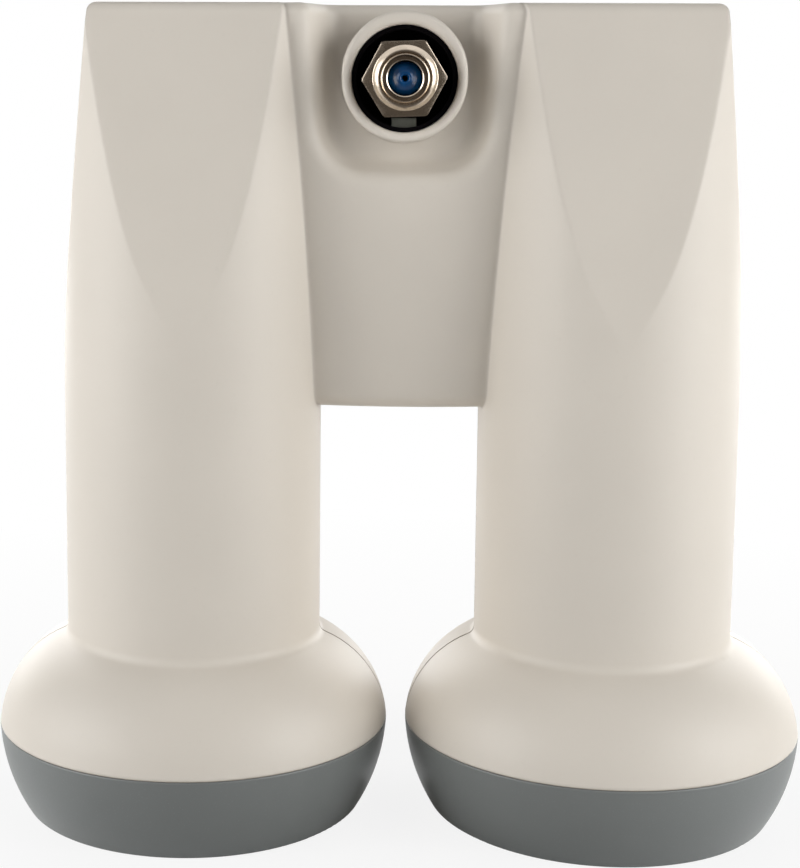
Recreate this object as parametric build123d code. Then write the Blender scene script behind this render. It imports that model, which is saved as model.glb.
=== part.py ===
from build123d import *

import math
import os

# Twin-feed satellite receiver head, in millimetres with +Z up.
# z = 0 is the flat underside of the two feed caps that it stands on, x = 0 lies midway between the feeds,
# and y = 0 is the plane of the feed axes and of the seam between the shell halves. The socket faces -Y.

# Feeds
neck_diameter = 40.0          # standard clamp seat
rim_diameter = 61.6           # widest ring, where shell and cap meet
rim_gap = 3.0                 # least room between the rims of the two feeds
shoulder_radius = 16.3        # arc of the shoulder's profile
shoulder_drop = 1.4           # how far the centre of that arc lies below the rim
neck_fillet = 1.5             # hollow between shoulder and neck

# Feed caps
cap_height = 13.3
cap_taper = 4.2               # rim to base, on the radius
cap_side_bulge = 0.9          # how far the side swells beyond a straight cone
cap_edge_radius = 0.8
joint_edge_radius = 0.25      # edges of cap and shell where they meet
cap_wall = 1.8
spigot_height = 3.5           # part of the cap that plugs into the shell
spigot_wall = 2.0

# Housing
overall_height = 124.7
shell_wall = 2.0
front_facet_start = 78.8      # height at which the front facet leaves the neck
front_facet_cut = 6.3         # taken off the front of a tower's top
side_facet_start = 70.0
side_top_room = 1.1           # circuit tray to the inside of a tower's outer side, at its top
facet_blend = 90.0            # radius on which a facet leaves the neck
facet_margin = 0.1            # neck to the straight foot of that blend
top_edge_radius = 1.5
bridge_bottom = 64.0
bridge_front_low = 6.6        # feed plane to the middle of the bridge's front, at its bottom
bridge_front_top = 15.4       # and at its top
bridge_crown = 80.0           # radius of the bulge across that front
bridge_back_room = 2.2        # lid screws to the inside of the bridge's back
bridge_foot_radius = 3.0
seam_lip_height = 1.2         # tongue of the front shell inside the rear one
seam_groove_width = 0.25      # fine groove outside, where the shell halves meet
seam_groove_depth = 0.5
shelf_thickness = 1.5         # ring inside the shell that the chassis flange seats against
shelf_width = 2.5

# Socket pocket and collar
pocket_floor_depth = 7.2      # feed plane to the pocket's floor
pocket_side_margin = 1.6      # collar to the foot of the pocket's side walls
pocket_foot_margin = 2.6      # collar to the foot of the pocket's lower wall
pocket_neck_room = 1.49       # least room from the foot of the side walls to the necks
pocket_corner_radius = 5.0
pocket_draft = 30.0           # slope of the pocket's walls, in degrees
pocket_floor_fillet = 2.5
pocket_lip_fillet = 2.2
collar_wall = 1.4
collar_top_extra = 0.6        # the collar is thicker above the socket by this much
collar_rise = 5.7             # rim of the collar above the pocket's floor
collar_headroom = 1.1         # collar to the housing's top
collar_edge_radius = 0.6

# Coaxial socket
thread_diameter = 9.4
thread_chamfer = 0.35
socket_reach = 5.1            # tip of the barrel beyond the collar's rim
hexagon_across_flats = 11.0
hexagon_thickness = 3.0
hexagon_room = 0.75           # corners of the hexagon to the gasket
hexagon_turn = 2.0            # degrees, as tightened
hexagon_chamfer = 0.25
stem_diameter = 9.0           # part of the socket held in the chassis boss
stem_length = 7.0
stem_bore = 3.2
socket_bore = 6.5
socket_bore_start = 1.2       # floor of that bore in front of the hexagon's back
rim_groove_land = 0.15        # bore to the fine groove turned in the tip
rim_groove_width = 0.25
rim_groove_depth = 0.3
insulator_nose_diameter = 4.9
insulator_nose_recess = 1.2   # tip of the barrel to the crown of the insulator
insulator_crown = 0.8
insulator_foot = 1.8
ferrule_wall = 0.2
ferrule_recess = 0.6          # crown of the insulator to the ferrule's edge
contact_diameter = 1.1
contact_entry = 3.0           # the contact stops this far behind the crown
bush_diameter = 4.2
bush_length = 4.0
gasket_base = 1.2
gasket_wall = 0.6
gasket_recess = 0.9           # collar's rim to the gasket's edge
key_width = 3.6               # cast key below the hexagon
key_rise = 2.0                # front of the key beyond the hexagon's back

# Chassis
waveguide_bore = 17.5
waveguide_wall = 2.0
waveguide_mouth_gap = 3.5     # floor of the cap to the mouth of the waveguide
waveguide_headroom = 15.4     # closed end of the waveguide to the housing's top
waveguide_end_wall = 2.5
flange_rise = 6.0             # top of the horn flange above the rim
flange_thickness = 2.0
flange_skirt_wall = 2.0
flange_skirt_drop = 6.0       # lower edge of the flange skirt below the rim
choke_wall = 1.5
choke_radii = (14.0, 19.2)
choke_drops = (5.0, 3.0)      # lower edges of the choke rings below the rim
seal_section = 1.4
seal_rise = 1.0               # middle of the O-ring above the rim
support_rises = (22.7, 44.7)  # support rings above the rim
support_thickness = 2.0
tray_neck_gap = 0.46          # outer corners of the lid to the inside of the neck
tray_foot_gap = 1.3           # tray to the floor of the bridge
tray_headroom = 5.7           # tray to the housing's top
tray_floor = 1.5
tray_wall = 1.6
boss_diameter = 14.4
boss_recess = 5.9             # collar's rim to the chassis boss that stands in its bore
boss_web = 2.0

# Electronics
board_thickness = 0.8
lid_thickness = 0.7
lid_clearance = 0.15          # tallest part on the board to the lid
pillar_diameter = 5.0
pillar_margin = 0.9           # tray edge to a screw pillar
upper_pillar_offset = 14.0    # middle to the upper inner screws
screw_diameter = 2.5
screw_tip_gap = 0.15          # tip of a screw to the tray's floor
screw_head_diameter = 4.4
screw_head_height = 0.9
probe_diameter = 1.0
probe_depth = 5.2             # reach into the waveguide
probe_tail = 0.5              # stands above the board
probe_bend = 1.5
probe_sleeve_diameter = 3.8
straight_probe_drop = 9.3     # closed end of the waveguide to the straight probe
bent_probe_drop = 20.3        # and to the bent one
bent_probe_stand_off = 2.2    # waveguide wall to the upright leg
isolation_pin_drop = 14.8
isolation_pin_diameter = 1.6

# Parts on the circuit board, with their width, height and thickness
transistor_size = (1.8, 1.8, 0.9)
transistor_lead = (0.5, 0.2)  # width and thickness
converter_size = (5.0, 5.0, 0.9)
crystal_size = (3.2, 2.5, 0.9)
crystal_corner = 0.5
switch_size = (6.0, 5.0, 1.2)
regulator_size = (4.6, 2.6, 1.5)
regulator_tab = (2.0, 4.4, 0.4)
capacitor_size = (2.0, 1.3, 1.2)
choke_diameter = 3.2
choke_waist_diameter = 2.2
choke_height = 1.4
choke_flange = 0.4

# Places of those parts, as steps across and up
first_transistor_steps = ((3.0, -4.0), (-4.1, 4.6))   # from the straight probe
second_transistor_step = (4.65, 3.6)                  # from the bent probe, as are the next three
converter_step = (-2.35, 10.0)
crystal_step = (-2.35, 16.5)
switch_rise = 6.0
choke_offset = 7.5            # from the middle, level with the gap between converter and crystal
regulator_rise = 8.6          # above the tray's lower edge, level with the capacitors
capacitor_start = 10.0
capacitor_pitch = 5.0
capacitor_count = 4

# Clearances
slide_gap = 0.1               # pieces pushed together
seat_gap = 0.2                # pieces that locate each other
cut_past = 1.0                # how far a cutting tool runs beyond the face it opens

# Widths about the socket's axis, then the feeds, as close together as their rims and the pocket allow
hexagon_corner_radius = hexagon_across_flats / 2 / math.cos(math.pi / 6)
gasket_radius = hexagon_corner_radius + hexagon_room + gasket_wall
collar_bore_radius = gasket_radius + slide_gap
collar_radius = collar_bore_radius + collar_wall
pocket_half_width = collar_radius + pocket_side_margin
rim_height = cap_height
rim_radius = rim_diameter / 2
neck_radius = neck_diameter / 2
front_top_depth = neck_radius - front_facet_cut
feed_x = max(rim_radius + rim_gap / 2, neck_radius + pocket_neck_room + pocket_half_width)
shoulder_centre_height = rim_height - shoulder_drop
shoulder_centre_radius = rim_radius - math.sqrt(shoulder_radius**2 - shoulder_drop**2)
waveguide_radius = waveguide_bore / 2
tube_radius = waveguide_radius + waveguide_wall
waveguide_mouth = cap_wall + waveguide_mouth_gap
waveguide_end = overall_height - waveguide_headroom

# The circuit tray and what stands on it, as depths behind the feed plane and heights
tray_face = tube_radius
board_face = tray_face + board_thickness
lid_face = board_face + regulator_size[2] + lid_clearance
lid_back = lid_face + lid_thickness
screw_back = lid_back + screw_head_height
tray_reach = math.sqrt((neck_radius - shell_wall - tray_neck_gap) ** 2 - lid_back**2)
tray_half_width = feed_x + tray_reach
tray_low = bridge_bottom + shell_wall + tray_foot_gap
tray_high = overall_height - tray_headroom
straight_probe_height = waveguide_end - straight_probe_drop
bent_probe_height = waveguide_end - bent_probe_drop
isolation_pin_height = waveguide_end - isolation_pin_drop
bent_leg_x = feed_x - tube_radius - bent_probe_stand_off

# The housing's reach around the tray
side_top_reach = tray_reach + side_top_room + shell_wall
bridge_back_depth = screw_back + bridge_back_room + shell_wall

# The coaxial socket and its collar, as depths in front of the feed plane
socket_height = overall_height - collar_headroom - collar_top_extra - collar_radius
pocket_floor_bottom = socket_height - collar_radius - pocket_foot_margin
collar_front_depth = pocket_floor_depth + collar_rise
socket_tip_depth = collar_front_depth + socket_reach
boss_front_depth = collar_front_depth - boss_recess
hexagon_back = boss_front_depth + gasket_base
hexagon_front = hexagon_back + hexagon_thickness
stem_back = hexagon_back - stem_length
key_front_depth = hexagon_back + key_rise
gasket_front_depth = collar_front_depth - gasket_recess
socket_bore_floor = hexagon_back + socket_bore_start
insulator_shoulder = socket_bore_floor + insulator_foot
insulator_front = socket_tip_depth - insulator_nose_recess

socket_plane = Plane(origin=(0, 0, socket_height), x_dir=(1, 0, 0), z_dir=(0, -1, 0))
on_base = (Align.CENTER, Align.CENTER, Align.MIN)


def shoulder_reach(height, inset):
    """Radius of the shoulder's arc at a height, moved inwards by inset."""
    rise = height - shoulder_centre_height
    return shoulder_centre_radius + math.sqrt((shoulder_radius - inset) ** 2 - rise**2)


def ring(inner, outer, low, high):
    """Ring about Z between two radii and two heights."""
    body = Cylinder(outer, high - low, align=on_base)
    if inner > 0:
        body -= Cylinder(inner, high - low, align=on_base)
    return Pos(0, 0, low) * body


def socket_ring(inner, outer, back, front):
    """Ring about the socket's axis between two radii and two depths."""
    return socket_plane * ring(inner, outer, back, front)


def slab(x_range, y_range, z_range):
    """Box between two limits on each axis."""
    size = [high - low for low, high in (x_range, y_range, z_range)]
    centre = [(low + high) / 2 for low, high in (x_range, y_range, z_range)]
    return Pos(*centre) * Box(*size)


def at_feeds(body):
    """The same piece at the left and at the right feed."""
    return [Pos(side * feed_x, 0, 0) * body for side in (-1, 1)]


def corner(face, point):
    """The vertex of a face that lies nearest to a point."""
    return face.vertices().sort_by_distance(point)[0]


# Housing forms, each given as solid shapes that can be moved inwards to follow the wall


def feed_form(inset, low):
    """Neck and shoulder of one feed, turned about its axis."""
    neck = neck_radius - inset
    radius = shoulder_radius - inset
    low_angle = math.asin((low - shoulder_centre_height) / radius)
    neck_angle = math.acos((neck - shoulder_centre_radius) / radius)

    def on_arc(angle):
        return (
            shoulder_centre_radius + radius * math.cos(angle),
            shoulder_centre_height + radius * math.sin(angle),
        )

    start, middle, end = (on_arc(a) for a in (low_angle, (low_angle + neck_angle) / 2, neck_angle))
    top = overall_height - inset
    edge = Polyline(end, (neck, top), (0, top), (0, low), start) + ThreePointArc(start, middle, end)
    face = make_face(edge)
    face = fillet(corner(face, (*end, 0)), neck_fillet + inset)
    if not inset:
        face = fillet(corner(face, (*start, 0)), joint_edge_radius)
    return revolve(Plane.XZ * face, Axis.Z)


def facet_section(grown, start, reach, top_reach):
    """Section of what a facet takes off a tower, from a soft start below to past the top.

    The facet is given as the height and the reach at which it leaves the neck and its reach at the top.
    """
    slope = (reach - top_reach) / (overall_height - start)
    foot = reach + facet_margin
    far = reach + neck_diameter
    floor = (bridge_bottom + rim_height) / 2
    ceiling = overall_height + neck_diameter
    bend = (foot, start - facet_margin / slope)
    past_top = (reach - slope * (ceiling - start), ceiling)
    face = make_face(Polyline((foot, floor), bend, past_top, (far, ceiling), (far, floor), close=True))
    face = fillet(corner(face, (*bend, 0)), facet_blend)
    return offset(face, grown, kind=Kind.INTERSECTION) if grown else face


def tower_form(side, inset):
    """Feed on one side, cut to its front and outer facets."""
    low = rim_height - (cut_past if inset else 0)
    feed = Pos(side * feed_x, 0, 0) * feed_form(inset, low)
    forwards = Plane(origin=(0, 0, 0), x_dir=(0, -1, 0), z_dir=(-1, 0, 0))
    outwards = Plane(origin=(0, 0, 0), x_dir=(side, 0, 0), z_dir=(0, -side, 0))
    front = facet_section(inset, front_facet_start, neck_radius, front_top_depth)
    outer = facet_section(inset, side_facet_start, feed_x + neck_radius, feed_x + side_top_reach)
    reach = feed_x + rim_diameter
    return feed - extrude(forwards * front, reach, both=True) - extrude(outwards * outer, reach, both=True)


def soften_tower(tower):
    """Round the edges of a tower's top, apart from the one inside the bridge."""
    top = tower.faces().sort_by(Axis.Z)[-1]
    outwards = top.edges().sort_by(lambda edge: abs(edge.center().X))
    return fillet(outwards[1:], top_edge_radius)


def pocket_tool(grown):
    """Drafted U-shaped pocket around the socket, open at the top, grown outwards by the wall."""
    slope = math.radians(pocket_draft)
    side = grown * (1 / math.cos(slope) - math.tan(slope))
    low = pocket_floor_bottom - side
    high = overall_height + neck_diameter
    half = pocket_half_width + side
    floor = make_face(Polyline((-half, low), (half, low), (half, high), (-half, high), close=True))
    lows = [corner(floor, (-half, low, 0)), corner(floor, (half, low, 0))]
    floor = fillet(lows, pocket_corner_radius + side)
    plane = Plane(origin=(0, grown - pocket_floor_depth, 0), x_dir=(1, 0, 0), z_dir=(0, -1, 0))
    tool = extrude(plane * floor, neck_radius, taper=-pocket_draft)
    return fillet(tool.faces().sort_by(Axis.Y)[-1].edges(), pocket_floor_fillet + grown)


def bridge_outline(inset):
    """Section of the block between the towers, past its front, with its back foot and back top rounded."""
    past_front = -neck_radius
    back_foot = (bridge_back_depth, bridge_bottom)
    back_top = (bridge_back_depth, overall_height)
    points = ((past_front, bridge_bottom), back_foot, back_top, (past_front, overall_height))
    face = make_face(Polyline(*points, close=True))
    if inset:
        face = offset(face, -inset, kind=Kind.INTERSECTION)
    for (y, z), radius in ((back_foot, bridge_foot_radius), (back_top, top_edge_radius)):
        if radius > inset:
            face = fillet(corner(face, (y, z, 0)), radius - inset)
    return face


def crown_form(inset):
    """Round bar along the bridge's leaning front, which gives that front its bulge."""
    lean = math.atan2(bridge_front_top - bridge_front_low, overall_height - bridge_bottom)
    along = (0, -math.sin(lean), math.cos(lean))
    back = bridge_crown * math.cos(lean) - bridge_front_low
    up = bridge_crown * math.sin(lean) + bridge_bottom
    bar = Cylinder(bridge_crown - inset, 4 * overall_height)
    return Plane(origin=(0, back, up), x_dir=(1, 0, 0), z_dir=along) * bar


def bridge_form(inset):
    """Block between the towers, with its front bulged and rounded below and the pocket taken out of it."""
    block = extrude(Plane.YZ * bridge_outline(inset), feed_x, both=True) & crown_form(inset)
    if bridge_foot_radius > inset:
        under = block.faces().sort_by(Axis.Z)[0]
        front_foot = under.edges().sort_by(Axis.Y)[0]
        block = fillet(front_foot, bridge_foot_radius - inset)
    return block - pocket_tool(inset)


def soften_bridge(bridge):
    """Round the pocket's lip, then the bridge's top edge where it runs along the front and the pocket."""
    leaning = bridge.faces().filter_by(lambda face: face.normal_at().Y < 0 and face.normal_at().Z < 0)
    front = leaning.sort_by(SortBy.AREA)[-1]
    middle = front.edges().filter_by(lambda edge: abs(edge.center().X) < feed_x / 2)
    lip = middle.sort_by(Axis.Z)[1:]
    bridge = fillet(lip, pocket_lip_fillet)
    top = bridge.faces().sort_by(Axis.Z)[-1]
    across = top.edges().filter_by(lambda edge: abs(edge.center().X) < feed_x - slide_gap)
    return fillet(across.filter_by(lambda edge: edge.center().Y < 0), top_edge_radius)


def housing_form(inset):
    """Whole housing as one solid, moved inwards by inset, and open past the rim where it is moved."""
    left, right = (tower_form(side, inset) for side in (-1, 1))
    bridge = bridge_form(inset)
    if not inset:
        left, right, bridge = soften_tower(left), soften_tower(right), soften_bridge(bridge)
    return left + bridge + right


# Heights and radii that several pieces share

flange_top = rim_height + flange_rise
spigot_outer = shoulder_reach(rim_height + spigot_height, shell_wall) - seat_gap
spigot_inner = spigot_outer - spigot_wall
flange_radius = spigot_inner - seat_gap
seal_height = rim_height + seal_rise
pillar_inset = pillar_margin + pillar_diameter / 2
outer_screw_x = tray_half_width - pillar_inset
lower_screw_z = tray_low + pillar_inset
upper_screw_z = tray_high - pillar_inset
screw_spots = [(side * outer_screw_x, z) for z in (lower_screw_z, upper_screw_z) for side in (-1, 1)]
screw_spots += [(side * upper_pillar_offset, upper_screw_z) for side in (-1, 1)]
screw_spots += [(0, lower_screw_z)]


# Shells


def collar():
    """Collar about the socket, thicker at its top, with a rounded rim, sunk into the pocket's floor."""
    sunk = pocket_floor_depth - shell_wall / 2
    outline = Pos(0, collar_top_extra / 2) * SlotCenterToCenter(collar_top_extra, 2 * collar_radius, 90)
    body = extrude(outline - Circle(collar_bore_radius), collar_front_depth - sunk)
    rim = body.faces().sort_by(Axis.Z)[-1].edges()
    return socket_plane * Pos(0, 0, sunk) * fillet(rim, collar_edge_radius)


def make_shells():
    """Front and rear halves of the housing, tongued together along the feed plane."""
    lip_form = housing_form((shell_wall + slide_gap) / 2)
    groove_form = housing_form((shell_wall - slide_gap) / 2)
    cavity = housing_form(shell_wall)
    shelf_low = flange_top + slide_gap
    shelf = ring(flange_radius - shelf_width, rim_radius, shelf_low, shelf_low + shelf_thickness)
    left_shelf, right_shelf = (shelf_ring & lip_form for shelf_ring in at_feeds(shelf))
    outside = housing_form(0)
    wall = outside - cavity + left_shelf + right_shelf

    reach = feed_x + rim_diameter
    front_half = slab((-reach, reach), (-reach, 0), (0, overall_height + cut_past))
    back_half = slab((-reach, reach), (0, reach), (0, overall_height + cut_past))
    tongue_zone = slab((-reach, reach), (0, seam_lip_height), (rim_height, overall_height))
    groove_zone = slab((-reach, reach), (0, seam_lip_height + slide_gap), (0, overall_height))

    front = (wall & front_half) + ((lip_form - cavity) & tongue_zone) + collar()
    behind_floor = pocket_floor_depth - shell_wall - cut_past
    front -= socket_ring(0, collar_bore_radius, behind_floor, collar_front_depth)
    seam = slab((-reach, reach), (-seam_groove_width, 0), (0, overall_height + cut_past))
    front -= (outside - housing_form(seam_groove_depth)) & seam
    rear = (wall & back_half) - (groove_form & groove_zone)
    return front, rear


# Feed caps


def feed_cap():
    """Cup that closes a feed, with a spigot that plugs into the shell."""
    base = rim_radius - cap_taper
    length = math.hypot(cap_taper, cap_height)
    bulge = (
        (base + rim_radius) / 2 + cap_side_bulge * cap_height / length,
        cap_height / 2 - cap_side_bulge * cap_taper / length,
    )
    rim = (rim_radius, rim_height)
    inner_base = (base - cap_wall, cap_wall)
    edge = ThreePointArc((base, 0), bulge, rim) + Polyline(
        rim,
        (spigot_outer, rim_height),
        (spigot_outer, rim_height + spigot_height),
        (spigot_inner, rim_height + spigot_height),
        (spigot_inner, rim_height - flange_skirt_drop - cap_wall / 2),
        inner_base,
        (0, cap_wall),
        (0, 0),
        (base, 0),
    )
    face = make_face(edge)
    face = fillet(corner(face, (base, 0, 0)), cap_edge_radius)
    face = fillet(corner(face, (*rim, 0)), joint_edge_radius)
    return revolve(Plane.XZ * face, Axis.Z)


def cap_seal():
    """O-ring in the groove of the chassis flange, pressed by the cap's spigot."""
    return Pos(0, 0, seal_height) * Torus(spigot_inner - seal_section / 2, seal_section / 2)


# Chassis


def feed_casting():
    """Waveguide with a closed end, a flared mouth, choke rings and the rings that locate it in the shell."""
    body = ring(waveguide_radius, tube_radius, waveguide_mouth, waveguide_end)
    body += ring(0, tube_radius, waveguide_end - waveguide_end_wall, waveguide_end)
    body += ring(waveguide_radius, flange_radius, flange_top - flange_thickness, flange_top)
    body += ring(flange_radius - flange_skirt_wall, flange_radius, rim_height - flange_skirt_drop, flange_top)
    for radius, drop in zip(choke_radii, choke_drops):
        body += ring(radius, radius + choke_wall, rim_height - drop, flange_top)
    support_radius = neck_radius - shell_wall - seat_gap
    for rise in support_rises:
        low = rim_height + rise
        body += ring(waveguide_radius, support_radius, low, low + support_thickness)
    groove_half = seal_section / 2 + slide_gap
    groove_floor = spigot_inner - seal_section
    body -= ring(groove_floor, rim_radius, seal_height - groove_half, seal_height + groove_half)
    flare = Cone(waveguide_radius + waveguide_wall / 2, waveguide_radius, cap_height, align=on_base)
    return body - Pos(0, 0, waveguide_mouth) * flare


def tray_plate(margin, front, back, radius):
    """Plate with rounded corners between two depths, smaller than the tray by a margin all round."""
    half_width = tray_half_width - margin
    plate = slab((-half_width, half_width), (front, back), (tray_low + margin, tray_high - margin))
    return fillet(plate.edges().filter_by(Axis.Y), radius)


def upright(x, z, radius, front, back):
    """Round bar along Y at a place on the tray."""
    return Plane(origin=(x, front, z), z_dir=(0, 1, 0)) * Cylinder(radius, back - front, align=on_base)


def crosswise(z, radius, left, right):
    """Round bar along X at the feed plane."""
    return Plane(origin=(left, 0, z), z_dir=(1, 0, 0)) * Cylinder(radius, right - left, align=on_base)


def tray():
    """Open tray for the circuit board, with screw pillars, across the backs of both waveguides."""
    body = tray_plate(0, tray_face - tray_floor, lid_face, 2 * tray_wall)
    body -= tray_plate(tray_wall, tray_face, lid_face + cut_past, tray_wall)
    for x, z in screw_spots:
        body += upright(x, z, pillar_diameter / 2, tray_face, lid_face)
        body -= upright(x, z, screw_diameter / 2 + slide_gap / 2, tray_face, lid_face)
    return body


def socket_boss():
    """Boss that carries the socket, with its web to the tray and the key below the hexagon."""
    body = socket_ring(0, boss_diameter / 2, -tray_face, boss_front_depth)
    web_low = (tray_low + socket_height) / 2
    body += slab((-boss_web / 2, boss_web / 2), (0, tray_face - tray_floor / 2), (web_low, socket_height))
    key_top = socket_height - hexagon_across_flats / 2 - seat_gap
    return body + slab((-key_width / 2, key_width / 2), (-key_front_depth, 0), (key_bottom(), key_top))


def key_bottom():
    """Lower edge of the cast key, clear of the collar's bore at its corners."""
    return socket_height - math.sqrt(gasket_radius**2 - (key_width / 2) ** 2)


def make_chassis():
    """Die-cast body: two waveguides, the circuit tray and the socket boss."""
    left, right = at_feeds(feed_casting())
    body = left + right + tray() + socket_boss()
    body -= socket_ring(0, stem_diameter / 2 + slide_gap, stem_back - slide_gap, key_front_depth)
    body -= socket_ring(0, bush_diameter / 2 + slide_gap / 2, -tray_face - cut_past, stem_back)
    hole = probe_sleeve_diameter / 2 + slide_gap / 2
    pin = isolation_pin_diameter / 2 + slide_gap / 2
    for side in (-1, 1):
        body -= upright(side * feed_x, straight_probe_height, hole, 0, lid_face)
        body -= upright(side * bent_leg_x, bent_probe_height, hole, waveguide_radius / 2, lid_face)
        inner, outer = sorted((side * (feed_x - tube_radius - cut_past), side * feed_x))
        body -= crosswise(bent_probe_height, hole, inner, outer)
        low, high = side * feed_x - tube_radius, side * feed_x + tube_radius
        body -= crosswise(isolation_pin_height, pin, low - cut_past, high + cut_past)
    return body


# Pick-up probes


def straight_probe(side):
    """Pin from the board straight into the waveguide."""
    tip = waveguide_radius - probe_depth
    return upright(side * feed_x, straight_probe_height, probe_diameter / 2, tip, board_face + probe_tail)


def bent_probe(side):
    """Pin from the board that turns into the waveguide's side."""
    leg = side * bent_leg_x
    end = side * (feed_x - waveguide_radius + probe_depth)
    path = FilletPolyline(
        (leg, board_face + probe_tail, bent_probe_height),
        (leg, 0, bent_probe_height),
        (end, 0, bent_probe_height),
        radius=probe_bend,
    )
    section = Plane(origin=path @ 0, z_dir=path % 0) * Circle(probe_diameter / 2)
    return sweep(section, path)


def probe_sleeves(side):
    """Insulating sleeves around the probes where they pass through the casting."""
    outer = probe_sleeve_diameter / 2
    inner = probe_diameter / 2 + slide_gap / 2
    spots = (
        (side * feed_x, straight_probe_height, waveguide_radius),
        (side * bent_leg_x, bent_probe_height, tray_face - tray_floor),
    )
    sleeves = []
    for x, z, front in spots:
        sleeves.append(upright(x, z, outer, front, tray_face) - upright(x, z, inner, front, tray_face))
    ends = sorted((side * (feed_x - tube_radius), side * (feed_x - waveguide_radius)))
    sleeves.append(crosswise(bent_probe_height, outer, *ends) - crosswise(bent_probe_height, inner, *ends))
    return sleeves


def isolation_pin(side):
    """Rod across the waveguide between its two probes."""
    middle = side * feed_x
    radius = isolation_pin_diameter / 2
    return crosswise(isolation_pin_height, radius, middle - tube_radius, middle + tube_radius)


# Coaxial socket


def connector_body():
    """Hexagon, threaded barrel and stem of the socket, turned from one bar."""
    barrel = ring(0, thread_diameter / 2, hexagon_back, socket_tip_depth)
    barrel = chamfer(barrel.faces().sort_by(Axis.Z)[-1].edges(), thread_chamfer)
    blank = ring(0, hexagon_corner_radius, hexagon_back, hexagon_front)
    blank = chamfer(blank.faces().sort_by(Axis.Z)[-1].edges(), hexagon_chamfer)
    outline = RegularPolygon(hexagon_across_flats / 2, 6, major_radius=False, rotation=hexagon_turn)
    hexagon = Pos(0, 0, hexagon_back) * extrude(outline, hexagon_thickness)
    body = barrel + (hexagon & blank) + ring(0, stem_diameter / 2, stem_back, hexagon_back)
    body -= ring(0, socket_bore / 2, socket_bore_floor, socket_tip_depth)
    body -= ring(0, stem_bore / 2, stem_back, socket_bore_floor)
    groove = socket_bore / 2 + rim_groove_land
    body -= ring(groove, groove + rim_groove_width, socket_tip_depth - rim_groove_depth, socket_tip_depth)
    return socket_plane * body


def connector_insulator():
    """Domed insulator that holds the contact, seated on the floor of the barrel's bore."""
    nose = insulator_nose_diameter / 2
    hole = (contact_diameter + slide_gap) / 2
    dome = (nose**2 + insulator_crown**2) / (2 * insulator_crown)
    centre = insulator_front - dome

    def on_dome(radius):
        return (radius, centre + math.sqrt(dome**2 - radius**2))

    foot = (socket_bore - slide_gap) / 2
    side = Polyline(
        on_dome(hole),
        (hole, socket_bore_floor),
        (foot, socket_bore_floor),
        (foot, insulator_shoulder),
        (nose, insulator_shoulder),
        on_dome(nose),
    )
    face = make_face(side + ThreePointArc(on_dome(nose), on_dome((nose + hole) / 2), on_dome(hole)))
    return socket_plane * revolve(Plane.XZ * face, Axis.Z)


def connector_ferrule():
    """Thin ring pressed around the insulator's nose."""
    inner = (insulator_nose_diameter + slide_gap) / 2
    return socket_ring(inner, inner + ferrule_wall, insulator_shoulder, insulator_front - ferrule_recess)


def connector_contact():
    """Centre contact from the insulator to the circuit board."""
    return socket_ring(0, contact_diameter / 2, -board_face - probe_tail, insulator_front - contact_entry)


def connector_bush():
    """Insulating bead around the contact where it enters the tray."""
    inner = (contact_diameter + slide_gap) / 2
    return socket_ring(inner, bush_diameter / 2, -tray_face, bush_length - tray_face)


def connector_gasket():
    """Rubber cup that lines the collar and seals the hexagon to the boss."""
    body = ring(stem_diameter / 2 + slide_gap, gasket_radius, boss_front_depth, hexagon_back)
    body += ring(gasket_radius - gasket_wall, gasket_radius, boss_front_depth, gasket_front_depth)
    notch_half = key_width / 2 + slide_gap
    notch_top = socket_height - hexagon_across_flats / 2
    notch = slab((-notch_half, notch_half), (-key_front_depth - slide_gap, 0), (tray_low, notch_top))
    return socket_plane * body - notch


# Circuit board, lid and parts


def circuit_board():
    """Board on the floor of the tray, cleared around the screw pillars and drilled for the pins."""
    board = tray_plate(tray_wall + seat_gap, tray_face, board_face, tray_wall)
    for x, z in screw_spots:
        board -= upright(x, z, pillar_diameter / 2 + seat_gap, tray_face, board_face)
    pins = [(side * feed_x, straight_probe_height, probe_diameter) for side in (-1, 1)]
    pins += [(side * bent_leg_x, bent_probe_height, probe_diameter) for side in (-1, 1)]
    pins += [(0, socket_height, contact_diameter)]
    for x, z, diameter in pins:
        board -= upright(x, z, (diameter + slide_gap) / 2, tray_face, board_face)
    return board


def shield_lid():
    """Metal lid that closes the tray."""
    lid = tray_plate(0, lid_face, lid_back, 2 * tray_wall)
    for x, z in screw_spots:
        lid -= upright(x, z, screw_diameter / 2 + seat_gap, lid_face, lid_back)
    return lid


def lid_screw(x, z):
    """Pan-headed screw through the lid into a pillar, with a cross recess."""
    head = upright(x, z, screw_head_diameter / 2, lid_back, screw_back)
    head = chamfer(head.faces().sort_by(Axis.Y)[-1].edges(), screw_head_height / 3)
    arm = screw_head_diameter / 4
    slot = screw_head_diameter / 12
    floor = screw_back - screw_head_height / 2
    head -= slab((x - arm, x + arm), (floor, screw_back), (z - slot, z + slot))
    head -= slab((x - slot, x + slot), (floor, screw_back), (z - arm, z + arm))
    return head + upright(x, z, screw_diameter / 2, tray_face + screw_tip_gap, lid_back)


def brick(x, z, size):
    """Block on the board, given by its width, height and thickness."""
    width, height, thickness = size
    across = (x - width / 2, x + width / 2)
    up = (z - height / 2, z + height / 2)
    return slab(across, (board_face, board_face + thickness), up)


def package(x, z, size):
    """Moulded package on the board, with its upper edges broken."""
    body = brick(x, z, size)
    return chamfer(body.faces().sort_by(Axis.Y)[-1].edges(), size[2] / 6)


def transistor(x, z):
    """Low-noise transistor: a small package on a cross of four leads."""
    width, height, _ = transistor_size
    lead, foil = transistor_lead
    leads = brick(x, z, (2 * width, lead, foil)) + brick(x, z, (lead, 2 * height, foil))
    return package(x, z, transistor_size) + leads


def crystal(x, z):
    """Metal crystal can with rounded corners."""
    return fillet(brick(x, z, crystal_size).edges().filter_by(Axis.Y), crystal_corner)


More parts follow.
